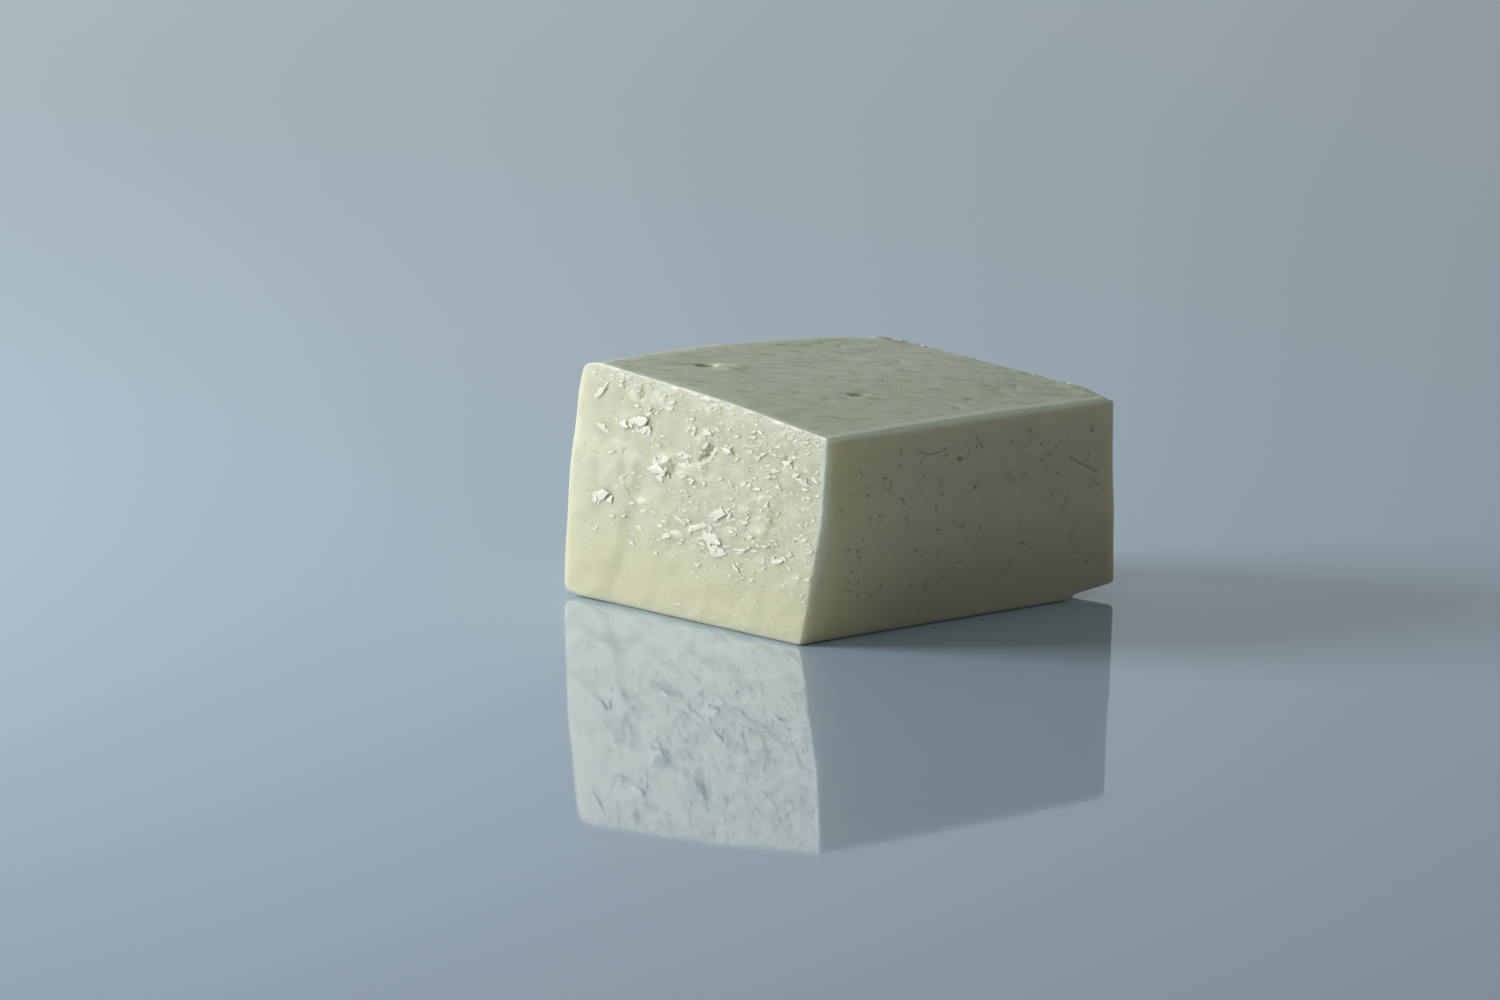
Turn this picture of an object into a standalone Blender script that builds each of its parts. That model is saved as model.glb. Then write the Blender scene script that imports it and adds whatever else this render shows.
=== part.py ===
# A block of halloumi with one fresh cut face, resting on its flat underside.
# It is shaped in millimetres from the foot of the corner between the cut face and the right face:
# X runs from the cut face to the far end, Y from the right face to the moulded side, Z up.

import bpy
import bmesh
from math import cos, exp, hypot, log, pi, radians, sin
from mathutils import Vector, noise

mm = 0.001

# Driving sizes of the straight block
length = 73.3
depth = 67.6
front_height = 38.9
side_height = 45.5

# How far the faces lean, bulge and lift
cut_lean = 2.7
end_lean = 4.4
right_tuck_near = 3.8
right_tuck_near_height = 24.0
right_tuck_near_curve = 1.2
right_tuck_far = 3.1
right_tuck_far_height = 37.5
right_tuck_change = 0.1
side_bulge = 1.5
side_bulge_height = 16.0
end_slant = 0.105
end_swell = 1.3
end_swell_place = 11.0
end_swell_reach = 20.0
end_step = 0.3
end_step_height = 21.7
end_step_rise = 0.8
end_step_ends = (3.0, 9.0)
corner_slope = 0.25
corner_slope_start = 38.0
corner_slope_softness = 3.0
foot_lift = 2.0
foot_chip = 0.9
foot_chip_place = 62.9
foot_chip_width = 0.7
top_wave = 0.28
top_wave_shift = 0.17
top_arch = 0.45

# Unevenness of the faces: height, and waves per millimetre
wide_wave = (0.10, 0.09)
fine_wave = (0.05, 0.31)
cut_wave = 0.22
cut_roughness = (0.16, 0.42)

# The lip that the knife dragged down the cut face: height, slant, where it rises, and where it fades out upwards
drag_height = 0.35
drag_slant = 0.25
drag_rise = (55.5, 58.5)
drag_fade = (27.0, 33.0)

# Crumbling of the rim of the far end: depth, where it starts, and waves per millimetre
rim_crumble = 0.55
rim_crumble_start = 40.0
rim_crumble_height = (3.5, 0.5)
rim_crumble_reach = (0.40, 0.50)
rim_coarse_wave = 0.23
rim_fine_wave = 0.6
rim_fine_share = 0.6

# How squarely a face must look outward to carry its relief, and how far a hollow's flanks run out
face_turn = (0.75, 0.97)
flank_reach = 1.3

# Rounding of each edge: radius, and an exponent of 2 for a round edge or near 1 for a flat chamfer
edge_rounding = {
    ("cut", "right"): (0.5, 2.0),
    ("cut", "side"): (0.7, 2.0),
    ("end", "right"): (0.6, 2.0),
    ("end", "side"): (12.0, 2.0),
    ("cut", "top"): (0.4, 2.0),
    ("right", "top"): (1.0, 2.0),
    ("end", "top"): (1.5, 1.6),
    ("side", "top"): (3.2, 1.2),
    ("cut", "under"): (0.8, 2.0),
    ("right", "under"): (1.2, 2.0),
    ("end", "under"): (0.9, 2.0),
    ("side", "under"): (3.4, 2.0),
}

# Each face as the axis it is square to and the end of that axis
face_side = {
    "cut": (0, 0),
    "end": (0, 1),
    "right": (1, 0),
    "side": (1, 1),
    "under": (2, 0),
    "top": (2, 1),
}

# Hollows: face, the two places on it in X, Y, Z order, half length, half width, turn in degrees, depth
hollows = [
    ("cut", 31.6, 31.2, 2.2, 0.9, 133.0, 0.9),
    ("cut", 50.5, 40.1, 1.3, 0.8, 100.0, 0.7),
    ("cut", 10.6, 32.3, 1.2, 0.8, 120.0, 0.8),
    ("cut", 40.0, 27.6, 1.5, 0.8, 95.0, 0.5),
    ("cut", 19.6, 19.0, 1.2, 0.8, 90.0, 0.3),
    ("cut", 53.2, 24.0, 3.2, 0.8, 68.0, 0.4),
    ("right", 26.8, 33.1, 3.8, 0.8, -4.0, 0.4),
    ("right", 39.1, 33.8, 1.6, 0.8, -58.0, 0.4),
    ("right", 33.8, 31.1, 1.0, 0.8, 0.0, 0.9),
    ("right", 67.8, 26.0, 4.2, 0.8, -25.0, 0.4),
    ("right", 70.3, 15.6, 0.9, 0.8, 0.0, 0.6),
    ("top", 17.1, 50.7, 1.5, 0.8, 130.0, 1.1),
    ("top", 26.9, 20.5, 1.8, 0.6, 20.0, 0.6),
]

# Raised scraps left by the knife, in the same order of values as the hollows, with a height instead of a depth
scraps = [
    ("cut", 43.0, 28.0, 2.6, 1.2, -14.0, 0.6),
    ("cut", 33.4, 33.2, 1.3, 1.0, 0.0, 0.6),
    ("cut", 16.0, 25.0, 2.4, 0.8, -6.0, 0.5),
    ("cut", 21.0, 22.2, 2.0, 0.8, -3.0, 0.5),
    ("cut", 15.3, 19.1, 2.2, 0.9, -2.0, 0.5),
    ("cut", 8.6, 31.2, 2.0, 0.8, 6.0, 0.5),
    ("cut", 48.8, 20.0, 2.2, 0.8, -12.0, 0.5),
    ("cut", 39.3, 15.1, 2.0, 0.8, -4.0, 0.5),
    ("top", 18.4, 46.6, 2.4, 0.9, 115.0, 0.5),
    ("top", 71.6, 8.5, 6.0, 2.2, 95.0, 0.5),
]

# Size of the quads away from the edges, and how many rows the edges take
quad_size = 3.3
edge_rows = [0.25, 0.7, 1.5]


def clear_scene():
    for item in list(bpy.data.objects):
        bpy.data.objects.remove(item, do_unlink=True)


def cheese_material():
    material = bpy.data.materials.new("halloumi")
    material.use_nodes = True
    surface = material.node_tree.nodes["Principled BSDF"]
    surface.inputs["Base Color"].default_value = (0.80, 0.80, 0.66, 1.0)
    surface.inputs["Roughness"].default_value = 0.38
    surface.inputs["Metallic"].default_value = 0.0
    material.diffuse_color = (0.80, 0.80, 0.66, 1.0)
    return material


def smooth_step(value, start, stop):
    share = min(max((value - start) / (stop - start), 0.0), 1.0)
    return share * share * (3.0 - 2.0 * share)


def soft_ramp(value, softness):
    # Nearly zero below zero and nearly the value itself above it
    return softness * log(1.0 + exp(min(value / softness, 50.0)))


def stations(span):
    # Places of the cuts along an axis: close at both ends for the rounded edges, even between them
    first = edge_rows[-1]
    steps = round((span - 2.0 * first) / quad_size)
    even = [first + (span - 2.0 * first) * i / steps for i in range(1, steps)]
    return edge_rows + even + [span - row for row in reversed(edge_rows)]


def straight_block():
    bm = bmesh.new()
    bmesh.ops.create_cube(bm, size=1.0)
    size = Vector((length, depth, side_height))
    for vertex in bm.verts:
        vertex.co = (vertex.co + Vector((0.5, 0.5, 0.5))) * size
    for axis in range(3):
        along = Vector((0.0, 0.0, 0.0))
        along[axis] = 1.0
        chip_rows = [foot_chip_place, foot_chip_place + foot_chip_width] if axis == 0 else []
        for place in stations(size[axis]) + chip_rows:
            everything = bm.verts[:] + bm.edges[:] + bm.faces[:]
            bmesh.ops.bisect_plane(bm, geom=everything, dist=0.001, plane_co=along * place, plane_no=along)
    return bm


def refine(bm, face, place, reach, coarsest):
    # Halves the larger quads of a face around a place, for a hollow or a scrap smaller than they are
    axis, far = face_side[face]
    across = [i for i in range(3) if i != axis]
    level = (length, depth, side_height)[axis] * far
    chosen = set()
    for quad in bm.faces:
        centre = quad.calc_center_median()
        on_face = abs(centre[axis] - level) < 0.001
        if not on_face or len(quad.verts) != 4 or quad.calc_area() < coarsest * coarsest:
            continue
        if hypot(centre[across[0]] - place[0], centre[across[1]] - place[1]) < reach:
            chosen.update(quad.edges)
    bmesh.ops.subdivide_edges(bm, edges=list(chosen), cuts=1, use_grid_fill=True)


def round_edges(point):
    # Draws the corner square between two faces in to a round or chamfered edge
    size = (length, depth, side_height)
    for (first, second), (radius, exponent) in reversed(edge_rounding.items()):
        beyond = []
        for face in (first, second):
            axis, far = face_side[face]
            outward = point[axis] - size[axis] if far else -point[axis]
            beyond.append(outward + radius)
        if min(beyond) <= 0.0:
            continue
        total = (beyond[0] ** exponent + beyond[1] ** exponent) ** (1.0 / exponent)
        share = max(beyond) / total
        for face, reach in zip((first, second), beyond):
            axis, far = face_side[face]
            moved = reach * share - radius
            point[axis] = size[axis] + moved if far else -moved
    return point


def cut_face_x(z):
    return -cut_lean * (1.0 - z / front_height)


def end_x(y, z):
    step = end_step * smooth_step(end_step_height - z, 0.0, end_step_rise)
    step *= 1.0 - smooth_step(y, *end_step_ends)
    swell = end_swell * (1.0 - smooth_step(abs(y - end_swell_place), 0.0, end_swell_reach))
    return length - end_slant * y + end_lean * (1.0 - z / front_height) + step + swell


def right_face_y(x, z):
    # Curved under near the cut face, and sloping evenly at the far end
    near = max(right_tuck_near_height - z, 0.0) / right_tuck_near_height
    far = max(right_tuck_far_height - z, 0.0) / right_tuck_far_height
    blend = smooth_step(x, right_tuck_change * length, length)
    return (1.0 - blend) * right_tuck_near * near ** right_tuck_near_curve + blend * right_tuck_far * far


def side_y(x, z):
    height = (z - side_bulge_height) / (side_height - side_bulge_height)
    bulge = side_bulge * (1.0 - height * height)
    return depth + bulge - corner_slope * soft_ramp(x - corner_slope_start, corner_slope_softness)


def underside_z(x):
    # Flat as far as a chip near the far end, then clear of the floor
    chip = foot_chip * smooth_step(x, foot_chip_place, foot_chip_place + foot_chip_width)
    slope = max(x - foot_chip_place, 0.0) / (length - foot_chip_place)
    return chip + (foot_lift - foot_chip) * slope


def top_z(x, y):
    across = y / depth
    rise = front_height + (side_height - front_height) * across
    wave = top_wave * sin(2.0 * pi * (across - top_wave_shift))
    return rise + wave + top_arch * (sin(pi * x / length) - 0.5)


def lean_and_bulge(point):
    # Stretches the straight block between its real faces
    share = Vector((point.x / length, point.y / depth, point.z / side_height))
    low = underside_z(point.x)
    z = low + share.z * (top_z(point.x, point.y) - low)
    start_y = right_face_y(point.x, z)
    y = start_y + share.y * (side_y(point.x, z) - start_y)
    start_x = cut_face_x(z)
    x = start_x + share.x * (end_x(y, z) - start_x)
    return Vector((x, y, z))


def mound(offset_a, offset_b, values):
    # Height of one hollow or scrap at a place, 1 at its middle and 0 beyond its rim
    half_length, half_width, turn = values
    along = offset_a * cos(radians(turn)) + offset_b * sin(radians(turn))
    across = offset_b * cos(radians(turn)) - offset_a * sin(radians(turn))
    distance = hypot(along / half_length, across / half_width)
    return 1.0 - smooth_step(distance, 0.0, flank_reach)


def face_weight(normal, face):
    axis, far = face_side[face]
    outward = normal[axis] if far else -normal[axis]
    return smooth_step(outward, *face_turn)


def relief(point, normal):
    # Height of the unevenness over the smooth face, along the normal
    fine = noise.noise(point * fine_wave[1] + Vector((7.0, 3.0, 11.0)))
    height = wide_wave[0] * noise.noise(point * wide_wave[1]) + fine_wave[0] * fine
    cut = face_weight(normal, "cut")
    if cut > 0.0:
        rough = noise.noise(point * cut_roughness[1] + Vector((2.0, 9.0, 4.0)))
        drag = smooth_step(point.y + drag_slant * point.z, *drag_rise)
        drag *= 1.0 - smooth_step(point.z, *drag_fade)
        height += cut * (cut_wave * fine + cut_roughness[0] * rough + drag_height * drag)
    for list_sign, features in ((-1.0, hollows), (1.0, scraps)):
        for face, place_a, place_b, half_length, half_width, turn, size in features:
            weight = face_weight(normal, face)
            if weight <= 0.0:
                continue
            axis, far = face_side[face]
            a, b = [point[i] for i in range(3) if i != axis]
            height += list_sign * weight * size * mound(a - place_a, b - place_b, (half_length, half_width, turn))
    return height


def rim_wear(point):
    # The rim of the far end and the round corner is crumbled in and out
    if point.x < rim_crumble_start:
        return Vector((0.0, 0.0, 0.0))
    along = point.y - point.x
    below_top = top_z(point.x, point.y) - point.z
    near_top = 1.0 - smooth_step(below_top, rim_crumble_height[1], rim_crumble_height[0])
    outward = Vector((point.x / length - 0.45, point.y / depth - 0.45, 0.0))
    near_rim = smooth_step(max(outward.x, outward.y), *rim_crumble_reach)
    coarse = noise.noise(Vector((along * rim_coarse_wave, 5.0, 1.0)))
    fine = noise.noise(Vector((along * rim_fine_wave, 2.0, 8.0)))
    depth_here = rim_crumble * (coarse + rim_fine_share * fine)
    return outward.normalized() * near_top * near_rim * depth_here


def add_relief(bm):
    bm.normal_update()
    moves = []
    for vertex in bm.verts:
        free = 1.0 - face_weight(vertex.normal, "under")
        lift = vertex.normal * relief(vertex.co, vertex.normal) * free
        moves.append(lift + rim_wear(vertex.co))
    for vertex, move in zip(bm.verts, moves):
        vertex.co += move
        vertex.co.z = max(vertex.co.z, 0.0)


def centre_on_footprint(bm):
    # Puts the origin under the middle of the block, and turns millimetres into metres
    middle = Vector((0.0, 0.0, 0.0))
    for axis in range(2):
        places = [vertex.co[axis] for vertex in bm.verts]
        middle[axis] = (min(places) + max(places)) / 2.0
    for vertex in bm.verts:
        vertex.co = (vertex.co - middle) * mm


def cheese_block():
    bm = straight_block()
    refine(bm, "cut", (depth / 2.0, side_height / 2.0), depth, quad_size / 2.0)
    for wider, coarsest in ((1.6, 2.0), (0.6, 1.0)):
        for face, place_a, place_b, half_length, half_width, turn, size in hollows + scraps:
            refine(bm, face, (place_a, place_b), half_length + wider, coarsest)
    for vertex in bm.verts:
        vertex.co = lean_and_bulge(round_edges(vertex.co.copy()))
    add_relief(bm)
    centre_on_footprint(bm)
    mesh = bpy.data.meshes.new("cheese_block")
    bm.to_mesh(mesh)
    bm.free()
    mesh.shade_smooth()
    mesh.set_sharp_from_angle(angle=radians(38.0))
    mesh.materials.append(cheese_material())
    block = bpy.data.objects.new("cheese_block", mesh)
    bpy.context.collection.objects.link(block)
    return block


clear_scene()
cheese_block()
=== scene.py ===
# A block of halloumi, freshly cut at one end, on a polished pale table in soft side light.
# Each piece has its settings beside its code. Their sizes are in millimetres, from the foot of
# the corner between the cut face and the right face: X to the far end, Y to the moulded side, Z up.
import bpy
import random
from math import cos, exp, pi, radians, sin
from mathutils import Matrix, Vector, kdtree


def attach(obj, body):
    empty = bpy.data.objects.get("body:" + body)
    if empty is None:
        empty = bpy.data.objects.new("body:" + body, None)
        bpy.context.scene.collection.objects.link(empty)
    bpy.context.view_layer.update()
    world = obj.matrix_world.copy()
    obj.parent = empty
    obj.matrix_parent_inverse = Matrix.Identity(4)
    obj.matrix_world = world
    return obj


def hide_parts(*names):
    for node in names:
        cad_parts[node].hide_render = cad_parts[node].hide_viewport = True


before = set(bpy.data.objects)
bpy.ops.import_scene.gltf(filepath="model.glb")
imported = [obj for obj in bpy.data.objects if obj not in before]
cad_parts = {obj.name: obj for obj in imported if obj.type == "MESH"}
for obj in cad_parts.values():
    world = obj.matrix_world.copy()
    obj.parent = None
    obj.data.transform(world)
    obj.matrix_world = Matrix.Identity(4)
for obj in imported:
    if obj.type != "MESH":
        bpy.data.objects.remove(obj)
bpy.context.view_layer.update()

mm = 0.001
cornerFoot = Vector((-37.50, -34.54, 0))    # where that corner stands in the model's own frame


def toScene(x, y, z):
    return (Vector((x, y, z)) + cornerFoot) * mm


def toBlock(place):
    return place / mm - cornerFoot


def linear(hexColour):
    parts = [int(hexColour[i:i + 2], 16) / 255 for i in (1, 3, 5)]
    return [p / 12.92 if p <= 0.04045 else ((p + 0.055) / 1.055) ** 2.4 for p in parts] + [1.0]


def smoothStep(low, high, value):
    t = min(max((value - low) / (high - low), 0), 1)
    return t * t * (3 - 2 * t)


# Camera

cameraSettings = {
    "place": (-0.89636, -0.93628, 0.25216),
    "heading": 42.963,
    "downTilt": 10.246,
    "roll": 0.831,
    "lens": 168,
}


def makeCamera(settings):
    bpy.ops.object.camera_add(location=settings["place"])
    camera = bpy.context.object
    turn = Matrix.Rotation(-radians(settings["heading"]), 3, "Z")
    turn = turn @ Matrix.Rotation(radians(90 - settings["downTilt"]), 3, "X")
    turn = turn @ Matrix.Rotation(radians(settings["roll"]), 3, "Z")
    camera.rotation_euler = turn.to_euler()
    camera.data.lens = settings["lens"]
    camera.data.sensor_width = 36
    camera.data.clip_start = 0.05
    bpy.context.scene.camera = camera


# Materials

def addNode(tree, kind, values=None, links=None, **settings):
    # values fill the node's own sockets, links join sockets to other nodes' outputs
    node = tree.nodes.new(kind)
    for name, value in settings.items():
        setattr(node, name, value)
    for name, value in (values or {}).items():
        node.inputs[name].default_value = value
    for name, output in (links or {}).items():
        tree.links.new(output, node.inputs[name])
    return node


def newMaterial(name):
    material = bpy.data.materials.new(name)
    material.use_nodes = True
    material.node_tree.nodes.clear()
    return material


def mixColours(tree, share, base, over):
    # base and over are colours or outputs
    mix = addNode(tree, "ShaderNodeMix", links={"Factor": share}, data_type="RGBA")
    for name, value in (("A", base), ("B", over)):
        socket = [item for item in mix.inputs if item.name == name and item.type == "RGBA"][0]
        if isinstance(value, str):
            socket.default_value = linear(value)
        else:
            tree.links.new(value, socket)
    return [item for item in mix.outputs if item.type == "RGBA"][0]


def spread(tree, value, low, high, most=1.0):
    # nothing at low, most at high
    node = addNode(tree, "ShaderNodeMapRange", {"From Min": low, "From Max": high, "To Max": most},
                   {"Value": value}, interpolation_type="SMOOTHSTEP")
    return node.outputs[0]


def times(tree, first, second):
    # two shares together, or a share and a fixed number
    if isinstance(second, float):
        return addNode(tree, "ShaderNodeMath", {1: second}, {0: first}, operation="MULTIPLY").outputs[0]
    return addNode(tree, "ShaderNodeMath", links={0: first, 1: second}, operation="MULTIPLY").outputs[0]


tableSettings = {
    "size": 14.0,               # metres
    "colour": "#afc7e2",
    "roughness": 0.035,
}


def makeTable(settings):
    bpy.ops.object.select_all(action="DESELECT")
    bpy.ops.mesh.primitive_plane_add(size=settings["size"], location=(0, 0, -0.02 * mm))
    table = bpy.context.object
    table.name = "table"
    # polished and lacquered, so it mirrors what stands on it with little blur
    material = newMaterial("polished pale table top")
    tree = material.node_tree
    surface = addNode(tree, "ShaderNodeBsdfPrincipled", {
        "Base Color": linear(settings["colour"]),
        "Roughness": settings["roughness"],
        "IOR": 1.5,
    })
    addNode(tree, "ShaderNodeOutputMaterial", links={"Surface": surface.outputs[0]})
    table.data.materials.append(material)


# Light

lightSettings = {
    "heading": (-0.73, 0.68),   # the window stands to the camera's left
    "height": 22.5,             # degrees above the table
    "distance": 0.78,           # metres
    "width": 0.36,
    "tall": 0.26,
    "power": 5.3,
    "colour": "#fffdf6",
    "roomColour": "#7a7b77",
    # the pale wall behind: its colour, its middle, how far it runs to the sides and how high
    "backColour": "#e4f4fc",
    "backHeading": (-0.17, 0.98, 0),
    "backSides": (0.2, 0.9),
    "backTop": (0.45, 0.1),
}


def makeLight(settings):
    flat = Vector(settings["heading"]).normalized()
    height = radians(settings["height"])
    away = Vector((flat.x * cos(height), flat.y * cos(height), sin(height)))
    bpy.ops.object.light_add(type="AREA", location=away * settings["distance"])
    window = bpy.context.object
    window.name = "window"
    window.rotation_euler = (-away).to_track_quat("-Z", "Y").to_euler()
    window.data.shape = "RECTANGLE"
    window.data.size = settings["width"]
    window.data.size_y = settings["tall"]
    window.data.energy = settings["power"]
    window.data.color = linear(settings["colour"])[:3]
    world = bpy.data.worlds.new("studio")
    bpy.context.scene.world = world
    world.use_nodes = True
    tree = world.node_tree
    tree.nodes.clear()
    ray = addNode(tree, "ShaderNodeTexCoord")
    towards = addNode(tree, "ShaderNodeVectorMath", {1: settings["backHeading"]},
                      {0: ray.outputs["Generated"]}, operation="DOT_PRODUCT")
    across = spread(tree, towards.outputs["Value"], *settings["backSides"])
    split = addNode(tree, "ShaderNodeSeparateXYZ", links={0: ray.outputs["Generated"]})
    upward = spread(tree, split.outputs["Z"], *settings["backTop"])
    share = times(tree, across, upward)
    colour = mixColours(tree, share, settings["roomColour"], settings["backColour"])
    glow = addNode(tree, "ShaderNodeBackground", {"Strength": 1.0}, {"Color": colour})
    addNode(tree, "ShaderNodeOutputWorld", links={"Surface": glow.outputs[0]})
    bpy.context.scene.view_settings.view_transform = "Standard"


# The cheese block

frontHeight = 38.9    # of the top over the foot of the corner, where it is lowest
topRise = 6.3         # from there to the moulded side
cutWidth = 67.6

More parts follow.
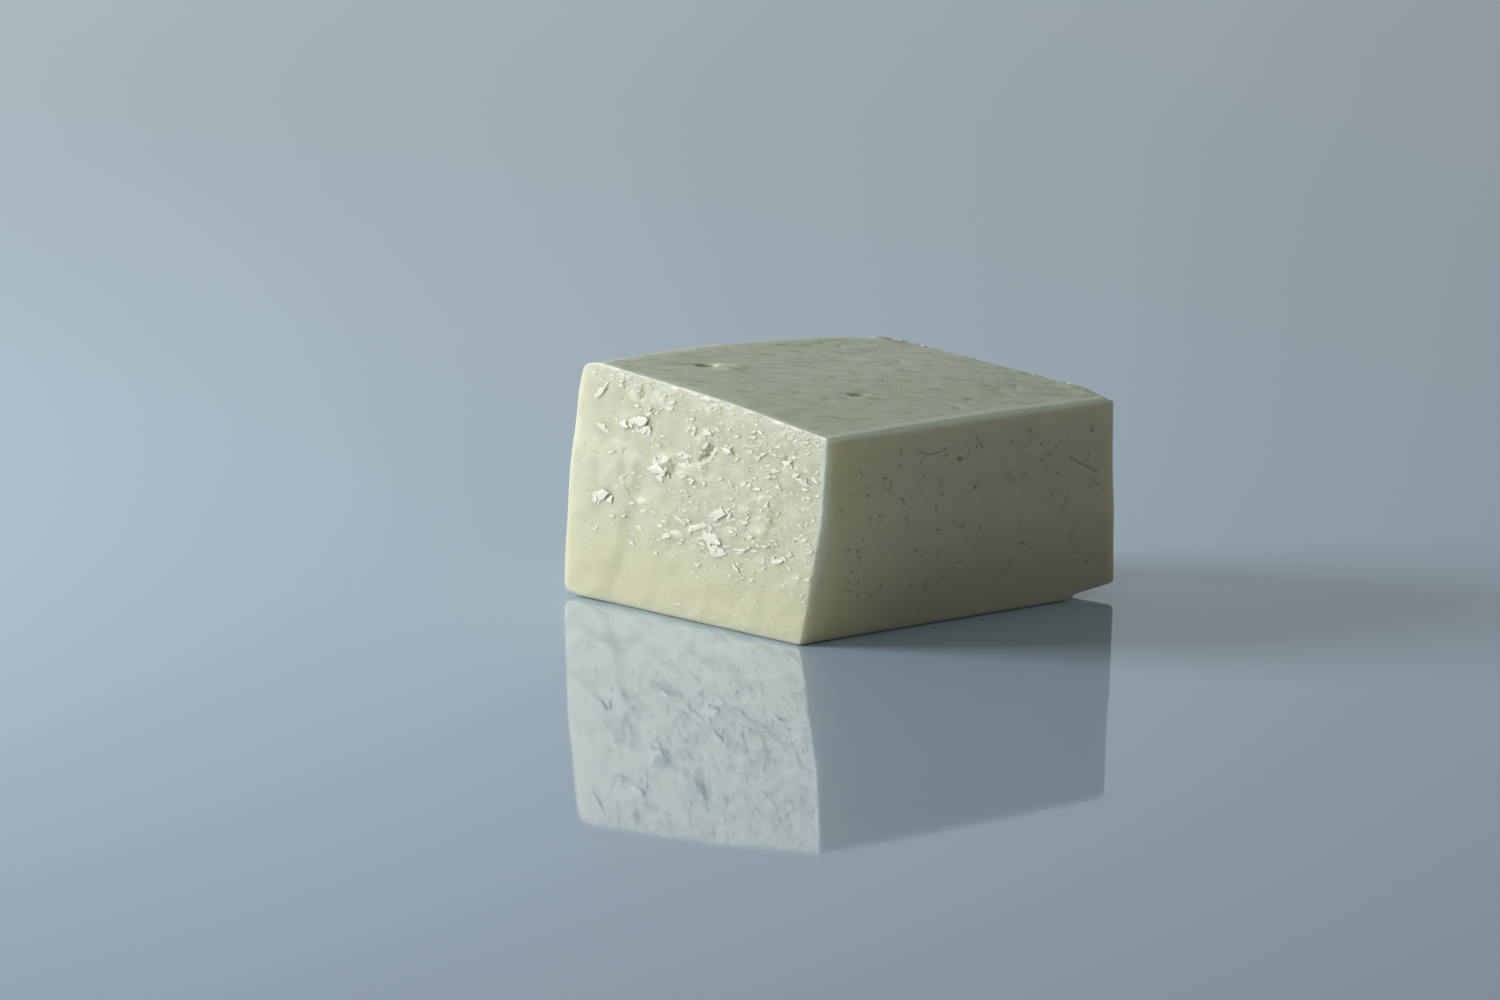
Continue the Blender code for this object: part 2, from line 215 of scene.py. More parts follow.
blockSettings = {
    # longest edges left on the cut face, the other faces, the underside and around small features
    "cutGrid": 0.45,
    "otherGrid": 1.3,
    "underGrid": 3.0,
    "fineGrid": 0.28,
    # how far behind the cut face, how high over the floor and how far around features their grids reach
    "cutReach": 1.6,
    "underReach": 0.5,
    "fineReach": 0.5,
    # fine patterns: where, name, height, grain size, detail, stretch along X, Y and Z with a turn
    # about Z, and the grey that stays level
    "patterns": [
        ("torn", "torn curd", 0.10, 1.0, 5, (1, 2.3, 1, 0), 0.0),
        ("grain", "curd grain", 0.03, 0.8, 3, (1, 1, 1, 0), 0.5),
        ("streak", "knife streak", 0.05, 1.1, 2, (1, 5, 1, 0), 0.5),
        ("sheet", "pressed sheet", 0.04, 3.0, 2, (1, 1, 1, 0), 0.5),
        ("skin", "pressed skin", 0.12, 2.0, 2, (1.8, 1, 1, -43), 0.7),
        ("rim", "crumbled rim", 0.35, 1.7, 2, (1, 1, 1, 0), 0.5),
    ],
    "tornRamp": [(0.52, 0), (0.58, 1)],
    # torn places on the cut face: across, up, half width, half height, strength
    "tornPlaces": [
        (40.5, 27.8, 4.0, 2.0, 1.0), (32.5, 33.5, 3.2, 2.6, 0.9), (17.0, 25.0, 5.0, 1.2, 1.0),
        (20.5, 20.8, 3.4, 1.2, 0.9), (13.0, 17.3, 3.6, 1.4, 0.9), (9.0, 31.0, 3.6, 1.8, 0.9),
        (14.7, 34.3, 4.2, 1.6, 0.8), (8.0, 37.0, 6.0, 1.6, 1.0), (20.0, 36.0, 7.0, 2.4, 0.8),
        (46.3, 19.6, 3.4, 1.8, 0.8), (42.7, 12.9, 3.0, 2.4, 0.6), (36.0, 14.8, 3.6, 1.8, 0.8),
        (52.5, 24.0, 3.2, 1.6, 0.6), (62.0, 41.2, 3.0, 1.6, 0.5), (57.9, 42.7, 3.0, 1.4, 0.6),
        (47.0, 37.0, 5.0, 2.4, 0.6), (44.0, 32.0, 4.0, 2.2, 0.7), (27.0, 28.0, 4.0, 1.6, 0.6),
        (57.0, 29.0, 3.6, 3.0, 0.4), (24.0, 14.0, 6.0, 2.2, 0.5), (8.0, 24.0, 5.0, 2.0, 0.7),
        (52.0, 41.4, 5.0, 1.8, 0.8), (42.0, 40.4, 6.0, 1.8, 0.9), (31.0, 39.4, 5.0, 1.6, 0.9),
        (56.0, 34.0, 3.4, 1.8, 0.6), (34.0, 24.0, 4.0, 1.4, 0.7), (22.0, 8.0, 6.0, 1.6, 0.5),
        (60.0, 31.0, 3.6, 2.6, 0.4), (53.0, 17.0, 4.0, 2.4, 0.4), (61.0, 14.0, 3.0, 3.4, 0.3),
    ],
    # creases and ridges: face, depth (a ridge is negative), half width, reach, falloff,
    # and lines of places on the face
    "creases": [
        ("cut", 0.26, 0.14, 0.60, "SMOOTH", [
            [(30.3, 33.0), (31.0, 32.0), (32.0, 31.1), (33.4, 30.2)],
            [(10.4, 33.7), (10.8, 32.8), (11.4, 32.0)],
        ]),
        ("cut", 0.18, 0.12, 0.45, "SHARP", [
            [(50.3, 41.1), (50.3, 40.3), (50.5, 39.3)], [(40.5, 28.0), (40.6, 27.0), (40.8, 26.1)],
            [(20.0, 19.9), (19.9, 18.7)], [(63.4, 19.8), (63.4, 20.2)],
            [(53.7, 29.3), (53.6, 28.9)], [(55.6, 38.7), (55.7, 38.4)],
            [(57.4, 35.6), (57.2, 35.4)], [(47.0, 31.2), (46.9, 30.9)],
            [(23.8, 25.6), (23.6, 25.5)], [(14.0, 30.2), (14.1, 30.0)],
            [(7.9, 34.5), (7.7, 34.4)], [(11.9, 15.8), (11.7, 15.7)],
            [(17.2, 18.1), (17.1, 17.8)], [(19.7, 25.4), (19.6, 25.2)],
            [(65.4, 26.3), (65.4, 25.9)], [(37.2, 22.0), (37.1, 21.5)],
            [(28.9, 18.0), (28.7, 17.8)],
        ]),
        ("cut", 0.12, 0.16, 0.70, "SHARP", [
            [(53.3, 23.8), (52.9, 22.7), (52.2, 21.5), (51.2, 20.1), (49.9, 19.4)],
            [(33.3, 29.8), (36.5, 29.1), (39.5, 28.7)],
        ]),
        ("cut", -0.22, 0.16, 0.60, "SMOOTH", [
            [(29.7, 32.4), (30.3, 31.2), (31.6, 30.0), (33.2, 29.3)], [(9.7, 33.5), (10.0, 32.4)],
        ]),
        ("cut", -0.07, 0.60, 1.60, "SMOOTH", [
            [(53.4, 40.4), (52.2, 39.2)], [(46.5, 39.1), (44.3, 39.3), (43.0, 38.6)],
            [(39.0, 27.4), (33.0, 27.4)],
        ]),
        ("right", 0.27, 0.12, 0.50, "SHARP", [
            [(23.0, 33.7), (25.0, 33.0), (27.1, 32.8), (30.4, 33.3)],
            [(38.1, 35.1), (38.8, 33.8), (40.0, 32.5)],
            [(63.4, 28.1), (65.5, 26.9), (67.8, 26.1), (71.6, 24.2)], [(59.0, 30.8), (59.5, 30.3)],
            [(40.2, 17.8), (40.6, 16.8)], [(18.6, 34.8), (19.0, 33.9)],
        ]),
        ("right", 0.17, 0.12, 0.50, "SHARP", [
            [(52.0, 14.6), (55.0, 15.2), (58.0, 14.6)], [(3.6, 26.9), (8.0, 28.0), (12.0, 28.6)],
            [(50.0, 29.6), (54.0, 29.4)], [(28.0, 27.6), (34.0, 28.4)], [(13.0, 20.3), (15.8, 23.0)],
        ]),
        ("side", 0.19, 0.12, 0.50, "SHARP", [
            [(18.0, 31.0), (22.0, 32.1), (26.5, 31.8)], [(49.0, 17.0), (50.6, 19.4), (51.0, 21.2)],
            [(33.0, 12.0), (36.5, 11.2), (40.0, 11.6)], [(58.0, 30.0), (60.5, 28.6)],
        ]),
        ("far", 0.22, 0.12, 0.50, "SHARP", [
            [(14.0, 27.0), (18.5, 28.4), (23.0, 27.8)], [(40.0, 16.0), (41.0, 19.0), (43.4, 20.8)],
            [(50.0, 30.0), (54.0, 28.8)], [(27.0, 9.0), (30.5, 9.6)],
        ]),
        ("right", 0.35, 0.22, 0.70, "SHARP", [[(33.3, 31.4), (33.9, 31.0), (34.4, 31.1)]]),
        ("right", 0.40, 0.12, 0.40, "SHARP", [
            [(43.4, 23.2), (43.5, 23.2)], [(24.6, 29.0), (24.9, 28.6)],
        ]),
        ("right", 0.18, 0.30, 0.70, "SMOOTH", [[(70.3, 15.8), (70.4, 15.4)]]),
        ("top", 1.20, 0.45, 1.50, "SMOOTH", [[(16.6, 51.4), (17.2, 50.9)]]),
        ("top", -0.45, 0.45, 1.30, "SMOOTH", [[(18.6, 49.7), (21.6, 46.5)]]),
        ("top", 0.40, 0.35, 1.10, "SMOOTH", [[(26.0, 20.6), (27.6, 20.2)]]),
        ("top", 0.16, 0.30, 1.40, "SMOOTH", [
            [(12.6, 54.9), (15.5, 52.0)], [(41.0, 43.1), (44.0, 40.5)], [(52.6, 21.5), (55.5, 18.9)],
        ]),
    ],
    # short curls and cracks strewn over a face: how many, lowest place, highest place, depth,
    # half width, reach, length
    "curls": [
        ("right", 34, (4.0, 4.0), (74.0, 34.0), 0.27, 0.10, 0.50, 1.7),
        ("cut", 16, (4.0, 6.0), (60.0, 36.0), 0.14, 0.10, 0.45, 1.3),
        ("top", 12, (6.0, 6.0), (66.0, 56.0), 0.13, 0.30, 1.10, 3.0),
        ("side", 18, (8.0, 5.0), (62.0, 35.0), 0.17, 0.10, 0.45, 1.5),
        ("far", 18, (6.0, 5.0), (56.0, 34.0), 0.24, 0.10, 0.50, 1.7),
    ],
    # pinholes left by whey: face, how many, lowest place, highest place, depth, reach
    "pinholes": [
        ("right", 90, (3.0, 3.0), (74.0, 34.0), 0.26, 0.45),
        ("right", 36, (3.0, 5.0), (74.0, 34.0), 0.55, 0.62),
        ("cut", 40, (2.0, 8.0), (64.0, 36.0), 0.20, 0.40),
        ("top", 30, (5.0, 5.0), (68.0, 58.0), 0.25, 0.90),
        ("side", 50, (8.0, 4.0), (62.0, 36.0), 0.30, 0.50),
        ("far", 50, (6.0, 4.0), (58.0, 34.0), 0.40, 0.60),
    ],
    "seed": 5,
}


def selectOnly(piece):
    bpy.ops.object.select_all(action="DESELECT")
    piece.select_set(True)
    bpy.context.view_layer.objects.active = piece


def subdivideLong(piece, longest, rounds):
    # splits only the edges that are longer than wanted where they lie
    for _ in range(rounds):
        mesh = piece.data
        points = mesh.vertices
        mesh.polygons.foreach_set("select", [False] * len(mesh.polygons))
        points.foreach_set("select", [False] * len(points))
        for edge in mesh.edges:
            a, b = (points[i].co for i in edge.vertices)
            edge.select = (a - b).length / mm > longest((a + b) / 2)
        bpy.ops.object.mode_set(mode="EDIT")
        bpy.ops.mesh.select_mode(type="EDGE")
        bpy.ops.mesh.subdivide(number_cuts=1)
        bpy.ops.object.mode_set(mode="OBJECT")


def gridAround(features, settings):
    # gives a function for the longest edge wanted at a place
    finder = kdtree.KDTree(len(features))
    for number, place in enumerate(features):
        finder.insert(toScene(*place), number)
    finder.balance()

    def longest(place):
        if finder.find(place)[2] < settings["fineReach"] * mm:
            return settings["fineGrid"]
        spot = toBlock(place)
        if spot.x < settings["cutReach"]:
            return settings["cutGrid"]
        return settings["underGrid"] if spot.z < settings["underReach"] else settings["otherGrid"]

    return longest


def topEdge(across):
    return frontHeight + topRise * across / cutWidth


def tornShare(across, up):
    # most by the right face, less by the moulded side and near the foot, nearly all under the top edge
    share = 0.30 + 0.30 * smoothStep(42, 30, across) - 0.22 * smoothStep(50, 58, across)
    share *= 0.55 + 0.45 * smoothStep(8, 17, up)
    for middle, level, wide, tall, strength in blockSettings["tornPlaces"]:
        reach = ((across - middle) / wide) ** 2 + ((up - level) / tall) ** 2
        share = max(share, strength * exp(-reach * 0.7))
    share = max(share, 0.9 * smoothStep(2.2, 0.6, topEdge(across) - up))
    return min(share, 1.0)


def paintGroups(piece):
    # how strongly each pattern shows at each point: the cut face is grained, torn and streaked,
    # the other faces have a pressed sheet's marks, the top a skin, and the far rim has crumbled
    names = ("grain", "torn", "streak", "sheet", "skin", "rim")
    groups = {name: piece.vertex_groups.new(name=name) for name in names}
    shares = {"torn share": [], "top share": [], "right share": []}
    for point in piece.data.vertices:
        place = toBlock(point.co)
        facing = smoothStep(-0.80, -0.97, point.normal.x)
        torn = facing * tornShare(place.y, place.z)
        low = smoothStep(6, 14, place.z) * smoothStep(60, 40, place.y)
        upward = smoothStep(0.6, 0.95, point.normal.z)
        far = max(smoothStep(63, 69, place.x),
                  smoothStep(61, 66, place.y) * smoothStep(18, 30, place.x))
        weights = {
            "grain": facing,
            "torn": torn,
            "streak": facing * (0.25 + 0.75 * low),
            "sheet": 1.0 if facing == 0 and place.z > 0.8 else 0,
            "skin": upward * smoothStep(1.0, 3.0, place.x),
            "rim": far * smoothStep(5.0, 2.0, topEdge(place.y) - place.z),
        }
        for name, weight in weights.items():
            if weight > 0:
                groups[name].add([point.index], weight, "REPLACE")
        shares["torn share"].append(torn)
        shares["top share"].append(upward)
        shares["right share"].append(smoothStep(-0.4, -0.8, point.normal.y))
    for name, values in shares.items():
        attribute = piece.data.attributes.new(name, "FLOAT", "POINT")
        attribute.data.foreach_set("value", values)


def pressLines(piece, finder, lines, way, reach, falloff, width):
    # moves the points along the lines, or the nearest to each place, and draws their surroundings along
    stride = 0.15 * mm
    mesh = piece.data
    mesh.polygons.foreach_set("select", [False] * len(mesh.polygons))
    mesh.edges.foreach_set("select", [False] * len(mesh.edges))
    mesh.vertices.foreach_set("select", [False] * len(mesh.vertices))
    for line in lines:
        if width is None:
            mesh.vertices[finder.find(toScene(*line[0]))[1]].select = True
            continue
        for start, end in zip(line, line[1:]):
            start, end = toScene(*start), toScene(*end)
            steps = int((end - start).length / stride) + 1
            for step in range(steps + 1):
                spot = start.lerp(end, step / steps)
                mesh.vertices[finder.find(spot)[1]].select = True
                for found in finder.find_range(spot, width * mm):
                    mesh.vertices[found[1]].select = True
    bpy.ops.object.mode_set(mode="EDIT")
    bpy.ops.mesh.select_mode(type="VERT")
    bpy.ops.transform.translate(value=Vector(way) * mm, orient_type="GLOBAL",
                                use_proportional_edit=True, proportional_edit_falloff=falloff,
                                proportional_size=reach * mm)
    bpy.ops.object.mode_set(mode="OBJECT")


# the way into the block through each face
inward = {
    "cut": Vector((1, 0, 0)),
    "right": Vector((0, 1, 0)),
    "top": Vector((0, 0, -1)),
    "side": Vector((0, -1, 0)),
    "far": Vector((-1, 0, 0)),
}


def onFace(piece, face, first, second):
    # the point of a face at two of its measures, found from well outside the block
    start = {
        "cut": (-20, first, second),
        "right": (first, -20, second),
        "top": (first, second, 80),
        "side": (first, 100, second),
        "far": (110, first, second),
    }[face]
    return toBlock(piece.ray_cast(toScene(*start), inward[face])[1])


def featureLines(piece, settings):
    # every feature as its lines on the surface, the way it goes, its reach, falloff and width
    features = []
    for face, depth, width, reach, falloff, lines in settings["creases"]:
        lines = [[onFace(piece, face, *place) for place in line] for line in lines]
        features.append((lines, inward[face] * depth, reach, falloff, width))
    draw = random.Random(settings["seed"])
    for face, count, low, high, depth, width, reach, length in settings["curls"]:
        lines = []
        for _ in range(count):
            first, second = (draw.uniform(a, b) for a, b in zip(low, high))
            turn = draw.uniform(0, 2 * pi)
            line = [(first, second)]
            for _ in range(3):
                first += cos(turn) * length / 3
                second += sin(turn) * length / 3
                turn += draw.gauss(0, 0.7)
                line.append((first, second))
            lines.append([onFace(piece, face, *place) for place in line])
        features.append((lines, inward[face] * depth, reach, "SHARP", width))
    for face, count, low, high, depth, reach in settings["pinholes"]:
        lines = [[onFace(piece, face, draw.uniform(low[0], high[0]), draw.uniform(low[1], high[1]))]
                 for _ in range(count)]
        features.append((lines, inward[face] * depth, reach, "SHARP", None))
    return features


def alongLines(features):
    # places every half millimetre along every feature
    places = []
    for lines, *rest in features:
        for line in lines:
            places.append(line[0])
            for start, end in zip(line, line[1:]):
                steps = int((end - start).length / 0.5) + 1
                places += [start.lerp(end, (step + 1) / steps) for step in range(steps)]
    return places


def carveFeatures(piece, features):
    finder = kdtree.KDTree(len(piece.data.vertices))
    for point in piece.data.vertices:
        finder.insert(point.co, point.index)
    finder.balance()
    for lines, way, reach, falloff, width in features:
        pressLines(piece, finder, lines, way, reach, falloff, width)


def pressPattern(piece, group, texture, height, stretch, middle):
    # a Displace modifier on one vertex group. An empty stretches its texture and turns it about Z
    bpy.ops.object.select_all(action="DESELECT")
    bpy.ops.object.empty_add(location=(0, 0, 0))
    empty = bpy.context.object
    empty.scale = stretch[:3]
    empty.rotation_euler = (0, 0, radians(stretch[3]))
    bpy.context.view_layer.update()
    selectOnly(piece)
    press = piece.modifiers.new(group, "DISPLACE")
    press.texture = texture
    press.texture_coords = "OBJECT"
    press.texture_coords_object = empty
    press.vertex_group = group
    press.mid_level = middle
    press.strength = height * mm
    bpy.ops.object.modifier_apply(modifier=group)
    bpy.data.objects.remove(empty)


def cloudTexture(name, size, depth, stops):
    # stops are the places and greys of a ramp that sharpens it, or nothing
    texture = bpy.data.textures.new(name, "CLOUDS")
    texture.noise_scale = size * mm
    texture.noise_depth = depth
    texture.noise_basis = "ORIGINAL_PERLIN"
    if stops:
        texture.use_color_ramp = True
        ramp = texture.color_ramp
        for element, (position, grey) in zip(ramp.elements, stops):
            element.position = position
            element.color = (grey, grey, grey, 1)
    return texture


def makeBlock(settings):
    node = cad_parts["cheese_block"]
    block = node.copy()
    block.data = node.data.copy()
    block.name = "cheeseBlock"
    bpy.context.scene.collection.objects.link(block)
    selectOnly(block)
    bpy.ops.object.mode_set(mode="EDIT")
    bpy.ops.mesh.select_all(action="SELECT")
    bpy.ops.mesh.remove_doubles(threshold=1e-6)
    bpy.ops.mesh.tris_convert_to_quads(face_threshold=radians(35), shape_threshold=radians(50))
    bpy.ops.object.mode_set(mode="OBJECT")
    soften = block.modifiers.new("soften", "SUBSURF")
    soften.levels = soften.render_levels = 1
    bpy.ops.object.modifier_apply(modifier="soften")
    features = featureLines(block, settings)
    subdivideLong(block, gridAround(alongLines(features), settings), 5)
    print("block refined:", len(block.data.polygons), "faces")
    paintGroups(block)
    before = [point.co.copy() for point in block.data.vertices]
    normals = [point.normal.copy() for point in block.data.vertices]
    for group, name, height, size, detail, stretch, middle in settings["patterns"]:
        texture = cloudTexture(name, size, detail, settings["tornRamp"] if group == "torn" else None)
        pressPattern(block, group, texture, height, stretch, middle)
    carveFeatures(block, features)
    relief = block.data.attributes.new("relief", "FLOAT", "POINT")
    rise = [(point.co - old).dot(normal) / mm
            for point, old, normal in zip(block.data.vertices, before, normals)]
    relief.data.foreach_set("value", rise)
    triangles = sum(len(face.vertices) - 2 for face in block.data.polygons)
    print("relief from", round(min(rise), 3), "to", round(max(rise), 3), "mm")
    print("block dressed with", triangles, "triangles")
    block.data.materials.clear()
    block.data.materials.append(halloumiMaterial())
    block.data.polygons.foreach_set("use_smooth", [True] * len(block.data.polygons))
    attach(block, "root")
    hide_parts("cheese_block")
    return block


cheeseSettings = {
    "colour": "#d5d5bb",
    "mottleColour": "#dcddc6",
    # painted light: the top's cool green tint where light from above falls
    "topCoolLightColour": "#cddcc6",
    # painted shade, yellower towards the foot
    "lowShadeColour": "#d9d6b5",
    "sideColour": "#e4dabb",
    "patchColour": "#cecfbd",
    # painted shade, darker towards the foot of the right face
    "footShadeColour": "#a8a58a",
    "streakDark": "#b3baa2",
    "streakLight": "#eff1e2",
    # white of dry torn curd, partly painted glints
    "tornWhiteAndGlintColour": "#f0f2e4",
    # partly whey, partly painted shade in hollows
    "wheyAndShadeColour": "#97965a",
    # painted highlight along the edges
    "rimHighlightColour": "#dfe6d6",
    # painted highlight on the top edge of the right face
    "edgeHighlightColour": "#ebfde6",
    "warmColour": "#dfdab6",
    "glowColour": "#eae6ae",
    "roughness": 0.33,
    "glow": 6.5,
}


def curdNoise(tree, place, size, detail, roughness=0.5, turn=0):
    # a pattern of that size in mm along X, Y and Z, turned by that many degrees
    drawn = addNode(tree, "ShaderNodeMapping", {"Scale": size, "Rotation": (0, 0, radians(turn))},
                    {"Vector": place}, vector_type="TEXTURE")
    noise = addNode(tree, "ShaderNodeTexNoise", {"Scale": 1.0, "Detail": detail, "Roughness": roughness},
                    {"Vector": drawn.outputs[0]})
    return noise.outputs["Fac"]


def halloumiMaterial():
    # pressed and brined sheep's milk curd: dense and faintly translucent, so its edges glow,
    # and damp with whey, which gives the cut its soft shine
    settings = cheeseSettings
    material = newMaterial("pressed halloumi curd")
    tree = material.node_tree
    place = addNode(tree, "ShaderNodeTexCoord")
    measured = addNode(tree, "ShaderNodeMapping", {"Location": -cornerFoot, "Scale": [1 / mm] * 3},
                       {"Vector": place.outputs["Object"]})
    inMm = measured.outputs[0]
    parts = addNode(tree, "ShaderNodeSeparateXYZ", links={0: inMm})
    deep, across, up = (parts.outputs[name] for name in "XYZ")
    names = ("relief", "torn share", "top share", "right share")
    relief, torn, top, right = (addNode(tree, "ShaderNodeAttribute", attribute_name=name).outputs["Fac"]
                                for name in names)
    mottle = spread(tree, curdNoise(tree, inMm, (4.5, 4.5, 4.5), 3.0), 0.4, 0.62)
    colour = mixColours(tree, mottle, settings["colour"], settings["mottleColour"])
    # painted shade: the curd is painted yellower towards the foot, where shade gathers
    colour = mixColours(tree, spread(tree, up, 26.0, 0.0), colour, settings["lowShadeColour"])
    # the right face is warmer, and patchy where the cloth pressed it
    colour = mixColours(tree, spread(tree, right, 0.0, 1.0, 0.8), colour, settings["sideColour"])
    patches = curdNoise(tree, inMm, (9.0, 9.0, 7.0), 4.0, 0.6)
    patches = times(tree, spread(tree, patches, 0.42, 0.60, 0.35), right)
    colour = mixColours(tree, patches, colour, settings["patchColour"])
    # painted shade: the right face is painted darker towards its foot, away from the front edge
    foot = times(tree, spread(tree, up, 22.0, 2.0, 0.5), right)
    foot = times(tree, foot, spread(tree, deep, 0.5, 7.0))
    colour = mixColours(tree, foot, colour, settings["footShadeColour"])
    # the top dried in streaks
    streaks = curdNoise(tree, inMm, (4.5, 2.0, 3.0), 4.0, 0.62, -43)
    # painted light: the top is tinted cooler and greener, as light from above falls on it
    colour = mixColours(tree, top, colour, settings["topCoolLightColour"])
    dark = times(tree, spread(tree, streaks, 0.48, 0.34, 0.75), top)
    colour = mixColours(tree, dark, colour, settings["streakDark"])
    pale = times(tree, spread(tree, streaks, 0.54, 0.68, 0.6), top)
    colour = mixColours(tree, pale, colour, settings["streakLight"])
    # painted highlight: the edges of the cut and of the right face are painted palest, where light
    # catches them. slope is the height measured along the sloping top, which lies at frontHeight
    slope = addNode(tree, "ShaderNodeMath", {1: -topRise / cutWidth}, {0: across, 2: up},
                    operation="MULTIPLY_ADD").outputs[0]
    cutSide = spread(tree, deep, 2.5, 0.4)
    for share, first, second in [
        (0.50, cutSide, spread(tree, slope, 34.8, 38.4)),
        (0.85, cutSide, spread(tree, across, 2.6, 0.6)),
        (0.25, cutSide, spread(tree, across, 61.5, 66.5)),
        (1.00, spread(tree, across, 3.0, 0.6), spread(tree, slope, 36.8, 38.4)),
    ]:
        edge = times(tree, times(tree, first, second), share)
        colour = mixColours(tree, edge, colour, settings["rimHighlightColour"])
    # painted highlight: a bright line along the top edge of the right face
    edge = times(tree, spread(tree, across, 2.6, 0.8), spread(tree, slope, 37.4, 38.4))
    colour = mixColours(tree, edge, colour, settings["edgeHighlightColour"])
    # light that comes through the thin edges is warm
    warm = times(tree, spread(tree, across, 61.5, 65.0), spread(tree, slope, 36.0, 38.0))
    warm = times(tree, warm, spread(tree, deep, 1.0, 5.0))
    colour = mixColours(tree, warm, colour, settings["warmColour"])
    warm = times(tree, spread(tree, deep, 26.0, 3.0, 0.6), spread(tree, slope, 37.5, 35.5))
    warm = times(tree, warm, times(tree, right, spread(tree, deep, 0.6, 2.0)))
    colour = mixColours(tree, warm, colour, settings["glowColour"])
    # flecks of torn curd, smaller than the mesh can hold, painted white: partly the curd's own colour,
    # partly painted glints
    fleck = curdNoise(tree, inMm, (0.7, 1.9, 0.5), 4.0, 0.62)
    level = addNode(tree, "ShaderNodeMath", {1: 0.17}, {0: torn, 2: fleck}, operation="MULTIPLY_ADD")
    flecks = times(tree, spread(tree, level.outputs[0], 0.68, 0.74), spread(tree, torn, 0.05, 0.15))
    colour = mixColours(tree, flecks, colour, settings["tornWhiteAndGlintColour"])
    # torn curd that stands up is painted white, partly its own dry white and partly painted glints; what
    # lies deep is painted olive, partly whey and partly painted shade
    colour = mixColours(tree, spread(tree, relief, 0.04, 0.12, 0.7), colour, settings["tornWhiteAndGlintColour"])
    # painted shade in hollows, partly real whey
    colour = mixColours(tree, spread(tree, relief, -0.08, -0.36, 0.66), colour, settings["wheyAndShadeColour"])
    # fine curd, knife marks, the top's streaks and the flecks, with their heights in mm
    normal = None
    for height, distance in [
        (curdNoise(tree, inMm, (0.6, 0.6, 0.6), 5.0, 0.6), 0.05),
        (curdNoise(tree, inMm, (1.0, 0.5, 4.5), 3.0), 0.08),
        (times(tree, streaks, top), 0.18),
        (flecks, 0.07),
    ]:
        links = {"Height": height} if normal is None else {"Height": height, "Normal": normal}
        bump = addNode(tree, "ShaderNodeBump", {"Strength": 0.8, "Distance": distance * mm}, links)
        normal = bump.outputs[0]
    surface = addNode(tree, "ShaderNodeBsdfPrincipled", {
        "Roughness": settings["roughness"],
        "IOR": 1.42,
        "Subsurface Weight": 0.65,
        "Subsurface Radius": (1.0, 0.85, 0.5),
        "Subsurface Scale": settings["glow"] * mm,
    }, {"Base Color": colour, "Normal": normal})
    addNode(tree, "ShaderNodeOutputMaterial", links={"Surface": surface.outputs[0]})
    return material


# Scraps of curd that the knife left standing on the cut face

scrapSettings = {
    "shapes": 16,
    "thickness": 0.07,
    # degrees that a scrap looks up and towards the moulded side, and how far that varies
    "lookUp": (4, 3),
    "lookAside": (3, 3),
    "seed": 11,
    "colour": "#edeede",
    "roughness": 0.34,
    # small ones strewn over the face: how many, shortest, longest, lowest and highest place under
    # the top edge
    "strewn": [
        (420, 0.35, 1.70, 40.0, 1.2), (110, 1.00, 2.40, 34.0, 2.0), (260, 0.30, 1.20, 3.4, 0.4),
    ],
    # crumbs on the far rim of the top: how many, shortest, longest
    "crumbs": (60, 0.4, 1.4),
    # where a chip may lie: its ends as a share of its length, how squarely the face looks out
    # at its ends and its middle, and how much deeper or higher its ends may be
    "reach": 0.7,
    "endsFacing": 0.6,
    "middleFacing": 0.75,
    "unevenness": 0.8,
    # the larger ones, each with more about it, in the same order of values as the strewn ones
    "larger": [(90, 0.8, 4.8, 32.0, 3.0)],
}


def modelScrap(number, settings):
    # a torn angular chip, one millimetre across
    bpy.ops.object.select_all(action="DESELECT")
    bpy.ops.mesh.primitive_circle_add(vertices=8 + number % 5, radius=0.5 * mm, fill_type="NGON")
    scrap = bpy.context.object
    bpy.ops.object.mode_set(mode="EDIT")
    bpy.ops.mesh.select_all(action="SELECT")
    bpy.ops.transform.vertex_random(offset=0.19 * mm, uniform=1.0, normal=0.0, seed=number + 3)
    bpy.ops.transform.resize(value=(1, 1, 0.1))
    for rise, shrink in ((0.8, 0.95), (0.2, 0.75)):
        bpy.ops.mesh.extrude_region_move()
        bpy.ops.transform.resize(value=(shrink, shrink, 1))
        bpy.ops.transform.translate(value=(0, 0, rise * settings["thickness"] * mm))
    bpy.ops.mesh.poke()
    bpy.ops.transform.vertex_random(offset=0.02 * mm, uniform=1.0, normal=0.0, seed=number + 40)
    bpy.ops.mesh.select_all(action="SELECT")
    bpy.ops.mesh.normals_make_consistent(inside=False)
    bpy.ops.object.mode_set(mode="OBJECT")
    return scrap


def scatter(kinds, draw):
    # chips over the torn part of the cut, each as its place across and up, length, width and turn
    places = []
    for count, shortest, longest, lowest, highest in kinds:
        left = count
        while left:
            across = draw.uniform(1.0, 66.5)
            up = topEdge(across) - draw.uniform(highest, lowest)
            if up < 1.5 or draw.random() > tornShare(across, up):
                continue
            length = shortest * (longest / shortest) ** (draw.random() ** 1.5)
            width = length * draw.uniform(0.2, 0.45)
            places.append((across, up, length, width, draw.gauss(-6, 15)))
            left -= 1
    return places


def scrapPlaces(settings, draw):
    # every chip of the cut face. A larger one has more about it
    larger = scatter(settings["larger"], draw)
    places = list(larger)
    for across, up, length, width, turn in larger:
        tilt = radians(turn)
        for _ in range(round(length * 1.3)):
            along = draw.uniform(-0.55, 0.55) * length
            aside = draw.gauss(0, 0.35) * width
            chip = length * draw.uniform(0.20, 0.45)
            wide = min(chip, width * draw.uniform(0.4, 0.9))
            places.append((across + along * cos(tilt) - aside * sin(tilt),
                           up + along * sin(tilt) + aside * cos(tilt),
                           chip, wide, turn + draw.gauss(0, 25)))
    return places + scatter(settings["strewn"], draw)


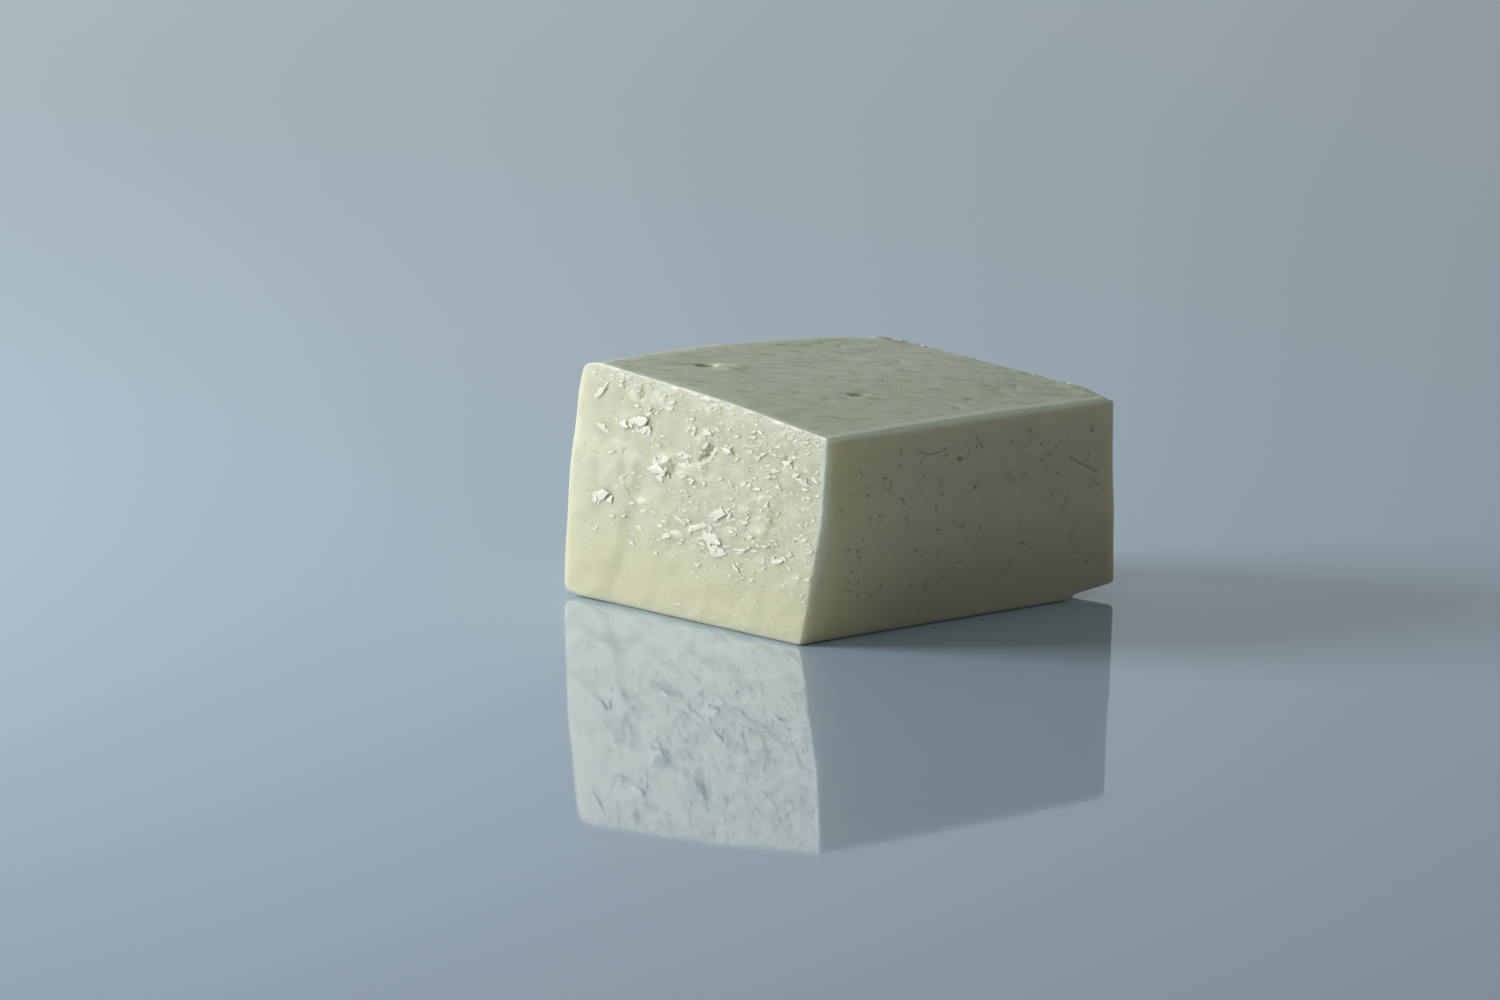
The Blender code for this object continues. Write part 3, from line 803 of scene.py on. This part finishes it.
def laysOnCut(settings, block, draw):
    # how every chip of the cut face lies, as a matrix. stand turns its flat side to the face
    stand = Matrix(((0, 0, -1, 0), (1, 0, 0, 0), (0, -1, 0, 0), (0, 0, 0, 1)))
    lays = []
    for across, up, length, width, turn in scrapPlaces(settings, draw):
        # its middle and both ends must lie well on the face
        finds = [block.ray_cast(toScene(-20, across + share * length * cos(radians(turn)),
                                        up + share * length * sin(radians(turn))), inward["cut"])
                 for share in (-settings["reach"], 0, settings["reach"])]
        if any(not hit or normal.x > -settings["endsFacing"] for hit, spot, normal, face in finds):
            continue
        hit, place, normal, face = finds[1]
        if normal.x > -settings["middleFacing"]:
            continue
        if any(abs(found[1].x - place.x) > settings["unevenness"] * mm for found in finds):
            continue
        tilt = radians(draw.gauss(*settings["lookUp"]))
        aside = radians(draw.gauss(*settings["lookAside"]))
        lean = Matrix.Rotation(tilt, 4, "Y") @ Matrix.Rotation(-aside, 4, "Z")
        swing = Matrix.Rotation(radians(turn), 4, "X")
        flip = Matrix.Rotation(radians(draw.choice((0, 180))), 4, "Z")
        size = Matrix.Diagonal((length, width, length ** 0.5 * draw.uniform(0.7, 1.2), 1))
        lift = (0.3 * width * abs(sin(tilt)) + 0.25 * length * abs(sin(aside))) * mm
        move = Matrix.Translation(place - Vector((lift, 0, 0)))
        lays.append(move @ swing @ lean @ stand @ flip @ size)
    return lays


def laysOnRim(settings, block, draw):
    # how the crumbs along the far rim of the top lie
    count, shortest, longest = settings["crumbs"]
    lays = []
    while len(lays) < count:
        across = draw.uniform(4, 60)
        deep = 78.5 - 11.5 * (across / 62) ** 2 - abs(draw.gauss(0, 1.6))
        hit, place, normal, face = block.ray_cast(toScene(deep, across, 80), inward["top"])
        if not hit or normal.z < 0.85 or toBlock(place).z < topEdge(across) - 2:
            continue
        length = shortest * (longest / shortest) ** draw.random()
        upright = Vector((0, 0, 1)).rotation_difference(normal).to_matrix().to_4x4()
        size = Matrix.Diagonal((length, length * draw.uniform(0.4, 0.8), length ** 0.5 * 1.6, 1))
        turn = Matrix.Rotation(draw.uniform(0, pi), 4, "Z")
        lays.append(Matrix.Translation(place) @ upright @ turn @ size)
    return lays


def makeScraps(settings, block):
    # every chip is one of a few shapes, laid, and all are joined as one piece
    draw = random.Random(settings["seed"])
    lays = laysOnCut(settings, block, draw) + laysOnRim(settings, block, draw)
    models = [modelScrap(number, settings) for number in range(settings["shapes"])]
    copies = []
    for lay in lays:
        model = draw.choice(models)
        scrap = model.copy()
        scrap.data = model.data.copy()
        bpy.context.scene.collection.objects.link(scrap)
        scrap.matrix_world = lay
        copies.append(scrap)
    bpy.ops.object.select_all(action="DESELECT")
    for model in models:
        bpy.data.objects.remove(model)
    for scrap in copies:
        scrap.select_set(True)
    bpy.context.view_layer.objects.active = copies[0]
    bpy.ops.object.join()
    scraps = bpy.context.object
    scraps.name = "cutScraps"
    bpy.ops.object.transform_apply(location=True, rotation=True, scale=True)
    bpy.ops.object.shade_smooth_by_angle(angle=radians(22))
    # torn curd: whiter than the pressed curd round it, with the same damp shine
    material = newMaterial("torn curd wet with whey")
    tree = material.node_tree
    surface = addNode(tree, "ShaderNodeBsdfPrincipled", {
        "Base Color": linear(settings["colour"]),
        "Roughness": settings["roughness"],
        "IOR": 1.42,
    })
    addNode(tree, "ShaderNodeOutputMaterial", links={"Surface": surface.outputs[0]})
    scraps.data.materials.append(material)
    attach(scraps, "root")
    print("scraps:", len(copies), "with", len(scraps.data.polygons), "faces")


makeCamera(cameraSettings)
makeTable(tableSettings)
makeLight(lightSettings)
print("camera, table and light are in place")
block = makeBlock(blockSettings)
makeScraps(scrapSettings, block)
